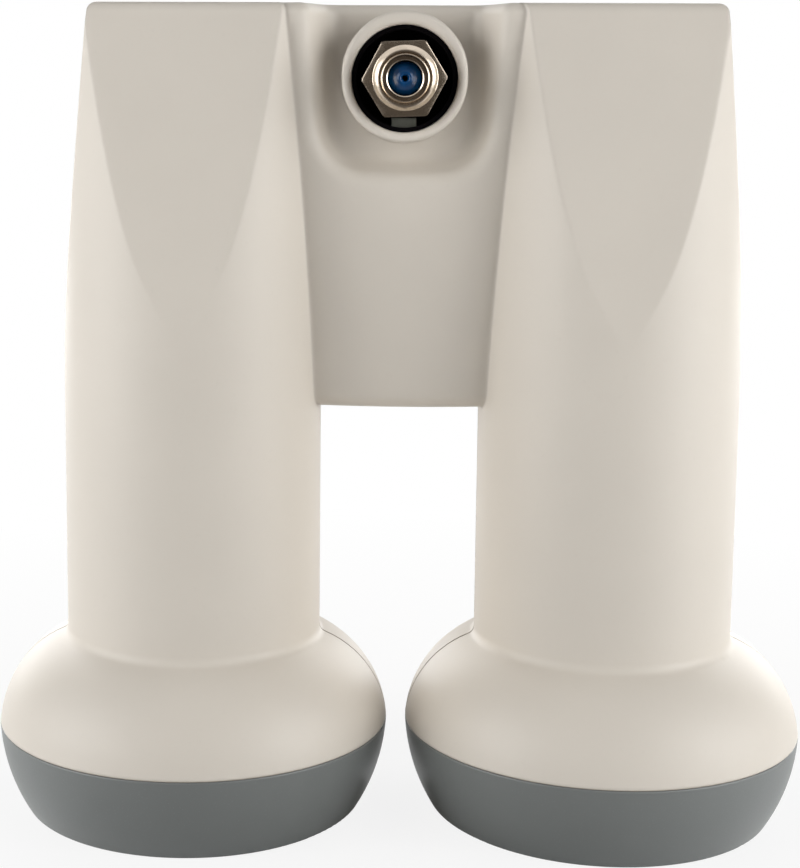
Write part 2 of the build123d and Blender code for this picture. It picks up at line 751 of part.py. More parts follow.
def choke(x, z):
    """Drum core choke."""
    top = board_face + choke_height
    drum = upright(x, z, choke_diameter / 2, board_face, top)
    drum -= upright(x, z, choke_diameter / 2, board_face + choke_flange, top - choke_flange)
    return drum + upright(x, z, choke_waist_diameter / 2, board_face, top)


def regulator(x, z):
    """Voltage regulator on a broad tab."""
    return package(x, z, regulator_size) + brick(x, z, regulator_tab)


def capacitor(x, z):
    """Filter capacitor."""
    return package(x, z, capacitor_size)


def converter(x, z):
    """Mixer and oscillator chip of one feed."""
    return package(x, z, converter_size)


def both_sides(make, spots):
    """A mirrored pair of parts for each place on the right half of the board."""
    return [make(side * x, z) for x, z in spots for side in (-1, 1)]


def group(solids):
    """Like pieces kept as separate solids in one node."""
    return Compound(children=list(solids))


def step_from(spot, step):
    """Place on the board a step away from another."""
    return (spot[0] + step[0], spot[1] + step[1])


def make_nodes():
    """Every piece of the receiver head by name."""
    front, rear = make_shells()
    left_cap, right_cap = at_feeds(feed_cap())
    left_seal, right_seal = at_feeds(cap_seal())
    sides = (-1, 1)
    straight_spot = (feed_x, straight_probe_height)
    bent_spot = (bent_leg_x, bent_probe_height)
    transistor_spots = [step_from(straight_spot, step) for step in first_transistor_steps]
    transistor_spots.append(step_from(bent_spot, second_transistor_step))
    converter_spot = step_from(bent_spot, converter_step)
    crystal_spot = step_from(bent_spot, crystal_step)
    choke_spot = (choke_offset, (converter_spot[1] + crystal_spot[1]) / 2)
    regulator_z = tray_low + regulator_rise
    capacitor_spots = [(capacitor_start + i * capacitor_pitch, regulator_z) for i in range(capacitor_count)]
    return {
        "front_shell": front,
        "rear_shell": rear,
        "left_feed_cap": left_cap,
        "right_feed_cap": right_cap,
        "left_cap_seal": left_seal,
        "right_cap_seal": right_seal,
        "cast_chassis": make_chassis(),
        "straight_probes": group(straight_probe(side) for side in sides),
        "bent_probes": group(bent_probe(side) for side in sides),
        "probe_sleeves": group(sleeve for side in sides for sleeve in probe_sleeves(side)),
        "isolation_pins": group(isolation_pin(side) for side in sides),
        "connector_body": connector_body(),
        "connector_insulator": connector_insulator(),
        "connector_ferrule": connector_ferrule(),
        "connector_contact": connector_contact(),
        "connector_bush": connector_bush(),
        "connector_gasket": connector_gasket(),
        "circuit_board": circuit_board(),
        "shield_lid": shield_lid(),
        "lid_screws": group(lid_screw(x, z) for x, z in screw_spots),
        "lna_transistors": group(both_sides(transistor, transistor_spots)),
        "converter_chips": group(both_sides(converter, [converter_spot])),
        "reference_crystals": group(both_sides(crystal, [crystal_spot])),
        "switch_chip": package(0, bent_probe_height + switch_rise, switch_size),
        "voltage_regulator": regulator(0, regulator_z),
        "filter_capacitors": group(both_sides(capacitor, capacitor_spots)),
        "choke_coils": group(both_sides(choke, [choke_spot])),
    }


os.makedirs("parts", exist_ok=True)
for name, solid in make_nodes().items():
    export_step(solid, f"parts/{name}.step")
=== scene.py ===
import math

import bmesh
import bpy
from bpy.props import FloatProperty, FloatVectorProperty, IntProperty, PointerProperty
from mathutils import Matrix, Vector


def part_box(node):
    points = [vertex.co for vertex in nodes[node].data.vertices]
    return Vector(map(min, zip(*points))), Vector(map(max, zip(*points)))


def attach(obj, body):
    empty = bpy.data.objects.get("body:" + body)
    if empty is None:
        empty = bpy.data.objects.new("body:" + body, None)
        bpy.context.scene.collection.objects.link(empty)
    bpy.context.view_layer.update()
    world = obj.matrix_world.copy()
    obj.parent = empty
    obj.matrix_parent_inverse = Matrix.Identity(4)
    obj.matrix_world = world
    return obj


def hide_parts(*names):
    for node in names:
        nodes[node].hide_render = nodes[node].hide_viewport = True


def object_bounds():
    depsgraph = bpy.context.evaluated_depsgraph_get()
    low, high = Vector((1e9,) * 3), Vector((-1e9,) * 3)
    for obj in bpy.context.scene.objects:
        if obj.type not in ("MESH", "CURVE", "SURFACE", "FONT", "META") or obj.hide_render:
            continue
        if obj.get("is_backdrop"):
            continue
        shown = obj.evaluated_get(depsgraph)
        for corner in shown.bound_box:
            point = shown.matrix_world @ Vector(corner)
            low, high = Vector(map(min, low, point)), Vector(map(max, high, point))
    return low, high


bl_info = {
    "name": "Twin-Feed Satellite Receiver Head",
    "version": (1, 0, 0),
    "blender": (4, 5, 0),
    "location": "3D View > Sidebar > Receiver Head",
    "description": "Finishes the packed solids of a twin-feed satellite receiver head and sets up its studio",
    "category": "Object",
}

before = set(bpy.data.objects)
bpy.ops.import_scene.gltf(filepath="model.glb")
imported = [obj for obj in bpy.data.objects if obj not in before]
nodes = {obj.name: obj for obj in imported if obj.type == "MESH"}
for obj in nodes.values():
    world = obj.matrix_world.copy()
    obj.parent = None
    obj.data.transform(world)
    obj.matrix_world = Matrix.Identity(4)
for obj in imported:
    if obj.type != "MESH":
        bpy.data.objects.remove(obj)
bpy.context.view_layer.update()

MM = 0.001
FULL_TURN = 2 * math.pi
BODY = "root"
FLECK_GRAINS = 2.6  # size of a fleck in the shells, in grains
CLOUD_GRAINS = 8  # size of a cloud in plain stock, in grains
ROOM_DIM = -0.82  # how far towards the camera a direction points where metal shows the dim room
ROOM_BRIGHT = -0.3  # and where metal shows the white background again

socket_low, socket_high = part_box("connector_body")
insulator_low, insulator_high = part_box("connector_insulator")
ferrule_low, ferrule_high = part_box("connector_ferrule")
SOCKET_AXIS = (socket_low + socket_high) / 2


# Shader building


class Wire:
    """A socket in a node tree. Arithmetic on it adds Math nodes, and node() adds any other node."""

    def __init__(self, tree, socket=None):
        self.tree = tree
        self.socket = socket

    def node(self, kind, settings=None, inputs=None, output=0):
        """Add a node, give it its settings and then its sockets, and return one of its outputs."""
        made = self.tree.nodes.new(kind)
        for name, value in (settings or {}).items():
            setattr(made, name, value)
        for name, value in (inputs or {}).items():
            if isinstance(value, Wire):
                self.tree.links.new(value.socket, made.inputs[name])
            else:
                made.inputs[name].default_value = value
        return Wire(self.tree, made.outputs[output] if len(made.outputs) else None)

    def also(self, output):
        """Another output of the node that this socket is on."""
        return Wire(self.tree, self.socket.node.outputs[output])

    def math(self, operation, *values):
        """Add a Math node."""
        return self.node("ShaderNodeMath", {"operation": operation}, dict(enumerate(values)))

    def __add__(self, other):
        return self.math("ADD", self, other)

    def __radd__(self, other):
        return self.math("ADD", other, self)

    def __sub__(self, other):
        return self.math("SUBTRACT", self, other)

    def __rsub__(self, other):
        return self.math("SUBTRACT", other, self)

    def __mul__(self, other):
        return self.math("MULTIPLY", self, other)

    def __rmul__(self, other):
        return self.math("MULTIPLY", other, self)

    def __truediv__(self, other):
        return self.math("DIVIDE", self, other)

    def __rtruediv__(self, other):
        return self.math("DIVIDE", other, self)

    def __pow__(self, other):
        return self.math("POWER", self, other)

    def __rpow__(self, other):
        return self.math("POWER", other, self)


def new_finish(name):
    """An empty material and the wire that starts its tree."""
    material = bpy.data.materials.new(name)
    material.use_nodes = True
    material.node_tree.nodes.clear()
    return material, Wire(material.node_tree)


def object_place(tree):
    """The place on the piece, in metres in the shared frame."""
    return tree.node("ShaderNodeTexCoord", output="Object")


def noise(place, size, detail):
    """Cloudy noise whose spots are about one size across."""
    inputs = {"Vector": place, "Scale": 1 / size, "Detail": detail}
    return place.node("ShaderNodeTexNoise", None, inputs, "Fac")


def spots(place, size):
    """Distance to the nearest of many scattered points, about one size apart."""
    return place.node("ShaderNodeTexVoronoi", None, {"Vector": place, "Scale": 1 / size}, "Distance")


def between(value, low, high, first=0.0, last=1.0):
    """The value carried from one range to another and held at its ends."""
    inputs = {"Value": value, "From Min": low, "From Max": high, "To Min": first, "To Max": last}
    return value.node("ShaderNodeMapRange", {"clamp": True}, inputs)


def mix_colours(factor, first, second):
    """Two colours mixed by a factor."""
    return factor.node("ShaderNodeMix", {"data_type": "RGBA"}, {0: factor, 6: first, 7: second}, output=2)


def bump(height_field, height, below=None):
    """Surface normal of a relief that is one height high, on top of another relief."""
    inputs = {"Height": height_field, "Distance": height, "Strength": 1.0}
    if below is not None:
        inputs["Normal"] = below
    return height_field.node("ShaderNodeBump", None, inputs, "Normal")


def soft_edges(tree, radius):
    """Surface normal that turns softly over an edge, as on a moulding."""
    return tree.node("ShaderNodeBevel", {"samples": 6}, {"Radius": radius})


def joint_line(place, axis, level, width):
    """One in a narrow line where an axis crosses a level, and nought away from it."""
    offset = place.node("ShaderNodeSeparateXYZ", None, {"Vector": place}, axis) - level
    distance = offset.math("ABSOLUTE", offset)
    core = 0.35 * width
    fringe = 0.65 * width
    return between(distance, core, fringe, 1.0, 0.0)


def close_finish(tree, sockets):
    """Send a Principled shader with these sockets to the material's output."""
    shader = tree.node("ShaderNodeBsdfPrincipled", None, sockets)
    tree.node("ShaderNodeOutputMaterial", None, {"Surface": shader})


def shade(colour, factor):
    """A colour made lighter or darker, with its alpha kept."""
    return tuple(min(1.0, part * factor) for part in colour[:3]) + (1.0,)


def opaque(colour):
    """An RGB property as an RGBA value."""
    return tuple(colour) + (1.0,)


# Finishes


def shell_plastic(look):
    """Light warm moulding with a fine matt grain and faint flow clouds, and painted shade in thin lines along
    its joints.
    """
    material, tree = new_finish("shell_plastic")
    place = object_place(tree)
    colour = opaque(look.shell_colour)
    clouds = noise(place, look.cloud_size, 3.0)
    grain = noise(place, look.grain_size, 2.0)
    flecks = between(noise(place, FLECK_GRAINS * look.grain_size, 1.0), 0.68, 0.8)
    tone = between(clouds, 0.3, 0.7)
    base = mix_colours(tone, shade(colour, 0.975), shade(colour, 1.02))
    base = mix_colours(flecks * 0.25, base, shade(colour, 0.93))
    # Painted shade: a dark line along the parting plane and along the joint with the caps, standing in for
    # the shade in the narrow gaps there.
    seam = joint_line(place, "Y", 0.0, look.seam_shade_width)
    rim = joint_line(place, "Z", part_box("front_shell")[0].z, look.seam_shade_width)
    joint_shade = seam.math("MAXIMUM", seam, rim)
    base = mix_colours(joint_shade * look.seam_shade_strength, base, opaque(look.seam_shade_colour))
    rough = look.shell_roughness + (clouds - 0.5) * 0.08 + (grain - 0.5) * 0.06
    relief = bump(grain, look.grain_height, soft_edges(tree, look.shell_edge))
    sockets = {
        "Base Color": base,
        "Roughness": rough,
        "Specular IOR Level": look.shell_shine,
        "Normal": relief,
    }
    close_finish(tree, sockets)
    return material


def cap_plastic(look):
    """Dark grey satin moulding with fine pale specks."""
    material, tree = new_finish("cap_plastic")
    place = object_place(tree)
    colour = opaque(look.cap_colour)
    clouds = noise(place, look.cloud_size, 3.0)
    grain = noise(place, look.speck_size, 1.5)
    specks = between(spots(place, 2 * look.speck_size), 0.05, 0.22, 1.0, 0.0)
    base = mix_colours(between(clouds, 0.3, 0.7), shade(colour, 0.94), shade(colour, 1.05))
    base = mix_colours(specks * 0.35, base, shade(colour, 1.35))
    rough = look.cap_roughness + (clouds - 0.5) * 0.1 + (grain - 0.5) * 0.08
    close_finish(tree, {"Base Color": base, "Roughness": rough, "Normal": bump(grain, look.grain_height)})
    return material


def turned_nickel(look):
    """Nickel plate over fine turning marks that run round the socket's axis."""
    material, tree = new_finish("turned_nickel")
    place = object_place(tree)
    centred = place.node("ShaderNodeVectorMath", {"operation": "SUBTRACT"}, {0: place, 1: SOCKET_AXIS})
    across = centred.node("ShaderNodeSeparateXYZ", None, {"Vector": centred}, "X")
    along = across.also("Y")
    up = across.also("Z")
    radius = (across * across + up * up) ** 0.5
    spread = {"X": radius / look.mark_size, "Y": along / look.mark_size, "Z": 0.0}
    turning = noise(place.node("ShaderNodeCombineXYZ", None, spread), 1.0, 3.0)
    stains = noise(place, look.stain_size, 3.0)
    colour = opaque(look.plating_colour)
    worn = between(stains, 0.42, 0.7)
    base = mix_colours(worn, colour, shade(colour, 0.78))
    rough = look.plating_roughness + worn * 0.1 + (turning - 0.5) * 0.12
    sockets = {
        "Base Color": base,
        "Metallic": 1.0,
        "Roughness": rough,
        "Normal": bump(turning, look.mark_height),
    }
    close_finish(tree, sockets)
    return material


def blue_insulation(look):
    """Smooth deep blue moulding, a little cloudy."""
    material, tree = new_finish("blue_insulation")
    place = object_place(tree)
    colour = opaque(look.insulation_colour)
    clouds = noise(place, 1.2 * MM, 2.0)
    grain = noise(place, 0.25 * MM, 1.0)
    grain_height = 0.004 * MM
    base = mix_colours(between(clouds, 0.3, 0.7), shade(colour, 0.85), shade(colour, 1.15))
    rough = look.insulation_roughness + (clouds - 0.5) * 0.1
    close_finish(tree, {"Base Color": base, "Roughness": rough, "Normal": bump(grain, grain_height)})
    return material


def plain_stock(
    name, colour, grain_size, roughness, metallic=0.0, grain_height=0.01 * MM, contrast=0.12, shine=0.5
):
    """Cast, drawn, moulded or fired stock: two tones in clouds, with a fine relief."""
    material, tree = new_finish(name)
    place = object_place(tree)
    clouds = noise(place, CLOUD_GRAINS * grain_size, 3.0)
    grain = noise(place, grain_size, 2.0)
    tone = between(0.7 * clouds + 0.3 * grain, 0.35, 0.65)
    base = mix_colours(tone, shade(colour, 1 - contrast), shade(colour, 1 + contrast))
    rough = roughness + (grain - 0.5) * 0.15
    sockets = {
        "Base Color": base,
        "Metallic": metallic,
        "Roughness": rough,
        "Specular IOR Level": shine,
        "Normal": bump(grain, grain_height),
    }
    close_finish(tree, sockets)
    return material


def board_laminate(look):
    """Green solder resist with a regular row of copper lines showing through."""
    material, tree = new_finish("board_laminate")
    place = object_place(tree)
    colour = opaque(look.board_colour)
    waves = {"Vector": place, "Scale": 110.0, "Distortion": 1.5}
    traces = between(place.node("ShaderNodeTexWave", {"bands_direction": "X"}, waves, "Fac"), 0.78, 0.84)
    grain = noise(place, 0.4 * MM, 2.0)
    base = mix_colours(between(grain, 0.3, 0.7), shade(colour, 0.9), shade(colour, 1.1))
    base = mix_colours(traces * 0.7, base, shade(colour, 1.9))
    rough = 0.32 + (grain - 0.5) * 0.1
    relief = 0.8 * traces + 0.2 * grain
    trace_height = 0.03 * MM
    close_finish(tree, {"Base Color": base, "Roughness": rough, "Normal": bump(relief, trace_height)})
    return material


# Shapes


def about_socket(radius, turn, depth):
    """Point at a radius and a turn round the socket's axis, at a depth in front of the feed plane."""
    return Vector((radius * math.cos(turn), -depth, SOCKET_AXIS.z + radius * math.sin(turn)))


def smooth_faces(mesh, sharp_angle):
    """Smooth shading with edges that stay sharp above an angle."""
    for face in mesh.polygons:
        face.use_smooth = True
    mesh.set_sharp_from_angle(angle=sharp_angle)


def turned_piece(name, rows, segments, material, sharp_angle):
    """Closed piece swept round the socket's axis.

    Each row is a radius and a depth, or a function that gives both at a turn. The last row joins the first.
    """
    mesh = bpy.data.meshes.new(name)
    shape = bmesh.new()
    loops = []
    for row in rows:
        loop = []
        for step in range(segments):
            turn = FULL_TURN * step / segments
            radius, depth = row(turn) if callable(row) else row
            loop.append(shape.verts.new(about_socket(radius, turn, depth)))
        loops.append(loop)
    for loop, following in zip(loops, loops[1:] + loops[:1]):
        for step in range(segments):
            after = (step + 1) % segments
            shape.faces.new((loop[step], loop[after], following[after], following[step]))
    bmesh.ops.recalc_face_normals(shape, faces=shape.faces)
    shape.to_mesh(mesh)
    shape.free()
    smooth_faces(mesh, sharp_angle)
    mesh.materials.append(material)
    piece = bpy.data.objects.new(name, mesh)
    bpy.context.scene.collection.objects.link(piece)
    return piece


def crowned_rim(outer, inner, foot, crown, steps=10):
    """Rows of a rim that rises from its outer side in a slightly rounded slope."""
    bend = 0.45 * math.pi
    rows = []
    for step in range(steps + 1):
        share = step / steps
        rise = math.sin(bend * share) / math.sin(bend)
        rows.append((outer + (inner - outer) * share, foot + (crown - foot) * rise))
    return rows


def hexagon_radius(flats, turn):
    """Function that gives a turned hexagon's radius at an angle."""

    def radius(around):
        sixth = FULL_TURN / 6
        within = (around - turn) % sixth - sixth / 2
        return flats / 2 / math.cos(within)

    return radius


def seat_piece(piece, slot, *replaced):
    """Let a piece ride on the head and stand for CAD nodes."""
    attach(piece, BODY)
    if replaced:
        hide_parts(*replaced)


def paint(material, *names):
    """Give CAD nodes a finish."""
    for name in names:
        nodes[name].material_slots[0].material = material


# Thread, made by a node tree


def thread_tree():
    """Node tree that sweeps a thread's section along its helix about the socket's axis."""
    tree = bpy.data.node_groups.new("rolled_thread", "GeometryNodeTree")
    tree.interface.new_socket("Geometry", in_out="INPUT", socket_type="NodeSocketGeometry")
    for name in ("Root Radius", "Pitch", "Length", "Ridge Height", "Ridge Foot", "Ridge Crest"):
        tree.interface.new_socket(name, in_out="INPUT", socket_type="NodeSocketFloat")
    tree.interface.new_socket("Start", in_out="INPUT", socket_type="NodeSocketVector")
    tree.interface.new_socket("Finish", in_out="INPUT", socket_type="NodeSocketMaterial")
    tree.interface.new_socket("Geometry", in_out="OUTPUT", socket_type="NodeSocketGeometry")

    given = Wire(tree).node("NodeGroupInput")
    root = given.also("Root Radius")
    spiral = {
        "Resolution": 64,
        "Rotations": given.also("Length") / given.also("Pitch"),
        "Start Radius": root,
        "End Radius": root,
        "Height": given.also("Length"),
    }
    helix = given.node("GeometryNodeCurveSpiral", None, spiral)
    upright = given.node("GeometryNodeSetCurveNormal", {"mode": "Z_UP"}, {"Curve": helix})
    trapezium = {
        "Height": given.also("Ridge Height"),
        "Bottom Width": given.also("Ridge Foot"),
        "Top Width": given.also("Ridge Crest"),
        "Offset": 0.0,
    }
    section = given.node("GeometryNodeCurvePrimitiveQuadrilateral", {"mode": "TRAPEZOID"}, trapezium)
    quarter = FULL_TURN / 4
    crest_outwards = {"Geometry": section, "Rotation": (0, 0, quarter)}
    turned = given.node("GeometryNodeTransform", None, crest_outwards)
    swept = {"Curve": upright, "Profile Curve": turned, "Fill Caps": True}
    ridge = given.node("GeometryNodeCurveToMesh", None, swept)
    onto_socket = {"Geometry": ridge, "Translation": given.also("Start"), "Rotation": (quarter, 0, 0)}
    laid = given.node("GeometryNodeTransform", None, onto_socket)
    real = given.node("GeometryNodeRealizeInstances", None, {"Geometry": laid})
    plated = {"Geometry": real, "Material": given.also("Finish")}
    finished = given.node("GeometryNodeSetMaterial", None, plated)
    given.node("NodeGroupOutput", None, {"Geometry": finished})
    return tree


def grown_piece(name, tree, values):
    """Plain mesh piece from a node tree whose inputs have these values."""
    mesh = bpy.data.meshes.new(name)
    grower = bpy.data.objects.new(name, mesh)
    bpy.context.scene.collection.objects.link(grower)
    modifier = grower.modifiers.new("grow", "NODES")
    modifier.node_group = tree
    for item in tree.interface.items_tree:
        if item.in_out == "INPUT" and item.name in values:
            modifier[item.identifier] = values[item.name]
    depsgraph = bpy.context.evaluated_depsgraph_get()
    grown = bpy.data.meshes.new_from_object(grower.evaluated_get(depsgraph))
    grower.modifiers.remove(modifier)
    grower.data = grown
    grown.name = name
    bpy.data.meshes.remove(mesh)
    return grower


# Settings


def size_setting(name, description, default):
    """A size in metres."""
    return FloatProperty(name=name, description=description, default=default, unit="LENGTH", precision=6)


def share_setting(name, description, default):
    """A share between nought and one."""
    return FloatProperty(
        name=name, description=description, default=default, min=0.0, max=1.0, subtype="FACTOR"
    )


def turn_setting(name, description, degrees):
    """A turn, given in degrees."""
    return FloatProperty(name=name, description=description, default=math.radians(degrees), subtype="ANGLE")


def power_setting(name, description, default):
    """A lamp's power in watts."""
    return FloatProperty(name=name, description=description, default=default, min=0.0, unit="POWER")


def colour_setting(name, description, default):
    """A surface colour."""
    return FloatVectorProperty(
        name=name, description=description, default=default, size=3, min=0.0, max=1.0, subtype="COLOR"
    )


class HousingLook(bpy.types.PropertyGroup):
    """Finish of the shells and feed caps."""

    shell_colour: colour_setting("Shell", "Colour of the moulded shells", (0.66, 0.612, 0.545))
    shell_roughness: share_setting("Shell roughness", "Gloss of the shells, from mirror to chalk", 0.47)
    cap_colour: colour_setting("Caps", "Colour of the feed caps", (0.167, 0.178, 0.175))
    cap_roughness: share_setting("Cap roughness", "Gloss of the caps, from mirror to chalk", 0.42)
    cloud_size: size_setting("Clouds", "Size of the faint clouds in the mouldings", 30 * MM)
    grain_size: size_setting("Grain", "Size of the matt grain on the shells", 0.3 * MM)
    grain_height: size_setting("Grain height", "Height of the matt grain", 0.006 * MM)
    shell_edge: size_setting("Shell edges", "Radius over which an edge of the shells looks soft", 0.8 * MM)
    shell_shine: share_setting("Shell shine", "Strength of the shells' reflections", 0.4)
    # The seam settings give the painted shade line along the shells' joints: its width, colour and strength.
    seam_shade_width: size_setting("Seam", "Width of the dark line where two mouldings meet", 0.3 * MM)
    seam_shade_colour: colour_setting("Seam colour", "Colour of that line", (0.26, 0.185, 0.12))
    seam_shade_strength: share_setting("Seam strength", "How strongly that line shows", 0.62)
    speck_size: size_setting("Specks", "Size of the specks in the caps", 0.28 * MM)


class SocketLook(bpy.types.PropertyGroup):
    """Shape and finish of the coaxial socket."""

    thread_radius: size_setting("Thread radius", "Axis to the crest of the thread", 4.7 * MM)
    thread_height: size_setting("Thread height", "Root to crest of the thread", 0.42 * MM)
    thread_pitch: size_setting("Thread pitch", "From one crest to the next", 0.794 * MM)
    hexagon_flats: size_setting("Hexagon", "Width of the hexagon across its flats", 11.0 * MM)
    hexagon_turn: turn_setting("Hexagon turn", "How far the hexagon is turned", 2)
    hexagon_depth: size_setting("Hexagon depth", "Thickness of the hexagon", 3.0 * MM)
    edge_width: size_setting("Edge width", "Width of the bevel on the hexagon's edges", 0.26 * MM)
    edge_drop: size_setting("Edge drop", "Depth of that bevel", 0.1 * MM)
    stem_radius: size_setting("Stem radius", "Axis to the outside of the stem", 4.5 * MM)
    stem_length: size_setting("Stem length", "Length of the stem behind the hexagon", 7.0 * MM)
    stem_bore: size_setting("Stem bore", "Radius of the bore through the stem", 1.6 * MM)
    bore_radius: size_setting("Bore radius", "Radius of the bore that holds the insulation", 3.25 * MM)
    bore_start: size_setting("Bore start", "Floor of that bore in front of the hexagon's back", 1.2 * MM)
    groove_radius: size_setting("Groove radius", "Outer radius of the groove in the tip", 3.86 * MM)
    groove_width: size_setting("Groove width", "Width of the groove in the tip", 0.2 * MM)
    groove_depth: size_setting("Groove depth", "Depth of the groove in the tip", 0.55 * MM)
    rim_height: size_setting("Rim", "Height of the rounded rim at the tip", 0.75 * MM)
    inner_rim_height: size_setting("Inner rim", "Height of the rounded rim inside the groove", 0.3 * MM)
    inner_rim_drop: size_setting("Inner rim drop", "How far the inner rim lies behind the tip", 0.12 * MM)
    crest_inset: size_setting("Crest inset", "How far the rim lies inside the thread's crest", 0.05 * MM)
    crimp_height: size_setting("Crimp", "Height of the edge that is pressed over the insulation", 0.4 * MM)
    segments: IntProperty(name="Segments", description="Steps round a turned piece", default=120, min=24)
    plating_colour: colour_setting("Plating", "Colour of the nickel plate", (0.68, 0.58, 0.47))
    plating_roughness: share_setting("Plating roughness", "Gloss of the nickel plate", 0.2)
    mark_size: size_setting("Turning marks", "Distance between the fine turning marks", 0.05 * MM)
    mark_height: size_setting("Mark height", "Height of the turning marks", 0.0015 * MM)
    stain_size: size_setting("Stains", "Size of the dull patches on the plate", 2.0 * MM)
    insulation_colour: colour_setting("Insulation", "Colour of the insulation", (0.002, 0.056, 0.175))
    insulation_roughness: share_setting("Insulation roughness", "Gloss of the insulation", 0.2)
    dome_height: size_setting("Dome", "Height of the insulation's dome", 2.0 * MM)
    ring_wall: size_setting("Ring wall", "Thickness of the ring round the insulation", 0.15 * MM)
    press_gap: size_setting("Press gap", "Play between the ring and the pieces beside it", 0.03 * MM)
    mouth_radius: size_setting("Mouth", "Radius of the mouth that leads to the contact", 0.6 * MM)
    mouth_lip: size_setting("Mouth lip", "Width of the rounded lip of the mouth", 0.2 * MM)
    mouth_depth: size_setting("Mouth depth", "Depth of the rounded mouth", 0.75 * MM)
    hole_radius: size_setting("Hole", "Radius of the hole for the contact", 0.38 * MM)


class InsideLook(bpy.types.PropertyGroup):
    """Finish of the pieces inside the housing."""

    board_colour: colour_setting("Board", "Colour of the solder resist", (0.03, 0.16, 0.06))
    casting_colour: colour_setting("Casting", "Colour of the die-cast chassis", (0.2, 0.205, 0.175))
    rubber_colour: colour_setting("Rubber", "Colour of the seals", (0.0025, 0.002, 0.0025))


class StudioLook(bpy.types.PropertyGroup):
    """Camera, lamps and background."""

    camera_place: FloatVectorProperty(
        name="Camera", description="Place of the camera", default=(-0.0043275, -0.269997, 0.10887),
        size=3, subtype="TRANSLATION", unit="LENGTH",
    )
    camera_pitch: turn_setting("Pitch", "Camera tilt below level", 7.85)
    camera_yaw: turn_setting("Yaw", "Camera turn to the left", 2.12)
    camera_roll: turn_setting("Roll", "Camera roll", 0.298)
    camera_lens: FloatProperty(
        name="Lens", description="Focal length in millimetres", default=72.43, unit="CAMERA"
    )
    camera_shift: FloatVectorProperty(
        name="Shift", description="Shift of the picture, as a share of its long side",
        default=(0.1058, -0.0932), size=2,
    )
    lamp_distance: size_setting("Lamp distance", "From the middle of the head to each lamp", 0.6)
    lamp_width: size_setting("Lamp width", "Width of each lamp", 0.4)
    lamp_height: size_setting("Lamp height", "Height of each lamp", 0.6)
    lamp_rise: turn_setting("Lamp rise", "How far each lamp stands above the level of the head's middle", 8)
    side_lamp_angle: turn_setting("Side lamps", "Turn of the side lamps from the front", 75)
    side_lamp_power: power_setting("Side lamp power", "Power of the two side lamps", 4.6)
    front_lamp_angle: turn_setting("Front lamps", "Turn of the front lamps from the front", 55)
    front_lamp_power: power_setting("Front lamp power", "Power of the two front lamps", 4.15)
    back_lamp_angle: turn_setting("Back lamps", "Turn of the back lamps from the front", 147)
    back_lamp_power: power_setting("Back lamp power", "Power of the two back lamps", 5.6)
    lamp_balance: share_setting("Balance", "Share of the front lamps' power on the right", 0.56)
    fill_strength: share_setting("Fill", "Strength of the light from all round", 0.03)
    room_colour: colour_setting("Room", "Colour of the room that metal shows", (0.098, 0.087, 0.077))
    floor_glow: share_setting("Floor glow", "Share of the background's white in the floor nearby", 0.86)
    glow_near: size_setting("Glow near", "Distance from the middle up to which the floor glows so", 0.06)
    glow_far: size_setting("Glow far", "Distance from which the floor is as white as the background", 0.2)
    floor_colour: colour_setting("Floor", "Colour of the floor", (0.82, 0.82, 0.82))


class ReceiverHeadLook(bpy.types.PropertyGroup):
    """All settings of the receiver head and its studio."""

    housing: PointerProperty(type=HousingLook)
    socket: PointerProperty(type=SocketLook)
    inside: PointerProperty(type=InsideLook)
    studio: PointerProperty(type=StudioLook)


# Operators


class RECEIVER_OT_dress_shells(bpy.types.Operator):
    """Give the two shell halves their matt moulded finish"""

    bl_idname = "receiver_head.dress_shells"
    bl_label = "Dress Shells"

    def execute(self, context):
        paint(shell_plastic(context.scene.receiver_head.housing), "front_shell", "rear_shell")
        return {"FINISHED"}


class RECEIVER_OT_dress_caps(bpy.types.Operator):
    """Give the feed caps their satin grey finish"""

    bl_idname = "receiver_head.dress_caps"
    bl_label = "Dress Feed Caps"

    def execute(self, context):
        paint(cap_plastic(context.scene.receiver_head.housing), "left_feed_cap", "right_feed_cap")
        return {"FINISHED"}


class RECEIVER_OT_make_socket(bpy.types.Operator):
    """Turn the socket's body with its hexagon, and roll its thread"""

    bl_idname = "receiver_head.make_socket"
    bl_label = "Make Socket"

    def execute(self, context):
        look = context.scene.receiver_head.socket
        nickel = turned_nickel(look)
        body = turned_piece("socket_body", socket_rows(look), look.segments, nickel, math.radians(35))
        seat_piece(body, "plated_metal", "connector_body")
        thread = grown_piece("socket_thread", thread_tree(), thread_values(look, nickel))
        widest = max(math.hypot(v.co.x, v.co.z - SOCKET_AXIS.z) for v in thread.data.vertices)
        tolerance = 0.1 * MM
        if abs(widest - look.thread_radius) > tolerance:
            raise RuntimeError(f"the thread's crest is at {widest / MM:.2f} mm")
        smooth_faces(thread.data, math.radians(25))
        seat_piece(thread, "plated_metal")
        return {"FINISHED"}


class RECEIVER_OT_make_insulation(bpy.types.Operator):
    """Turn the domed insulation and the thin ring round it"""

    bl_idname = "receiver_head.make_insulation"
    bl_label = "Make Insulation"

    def execute(self, context):
        look = context.scene.receiver_head.socket
        dome = turned_piece(
            "socket_insulation", insulation_rows(look), look.segments, blue_insulation(look), math.radians(40)
        )
        seat_piece(dome, "blue_insulation", "connector_insulator")
        nickel = bpy.data.materials["turned_nickel"]
        ring = turned_piece("socket_ferrule", ferrule_rows(look), look.segments, nickel, math.radians(40))
        seat_piece(ring, "plated_metal", "connector_ferrule")
        return {"FINISHED"}


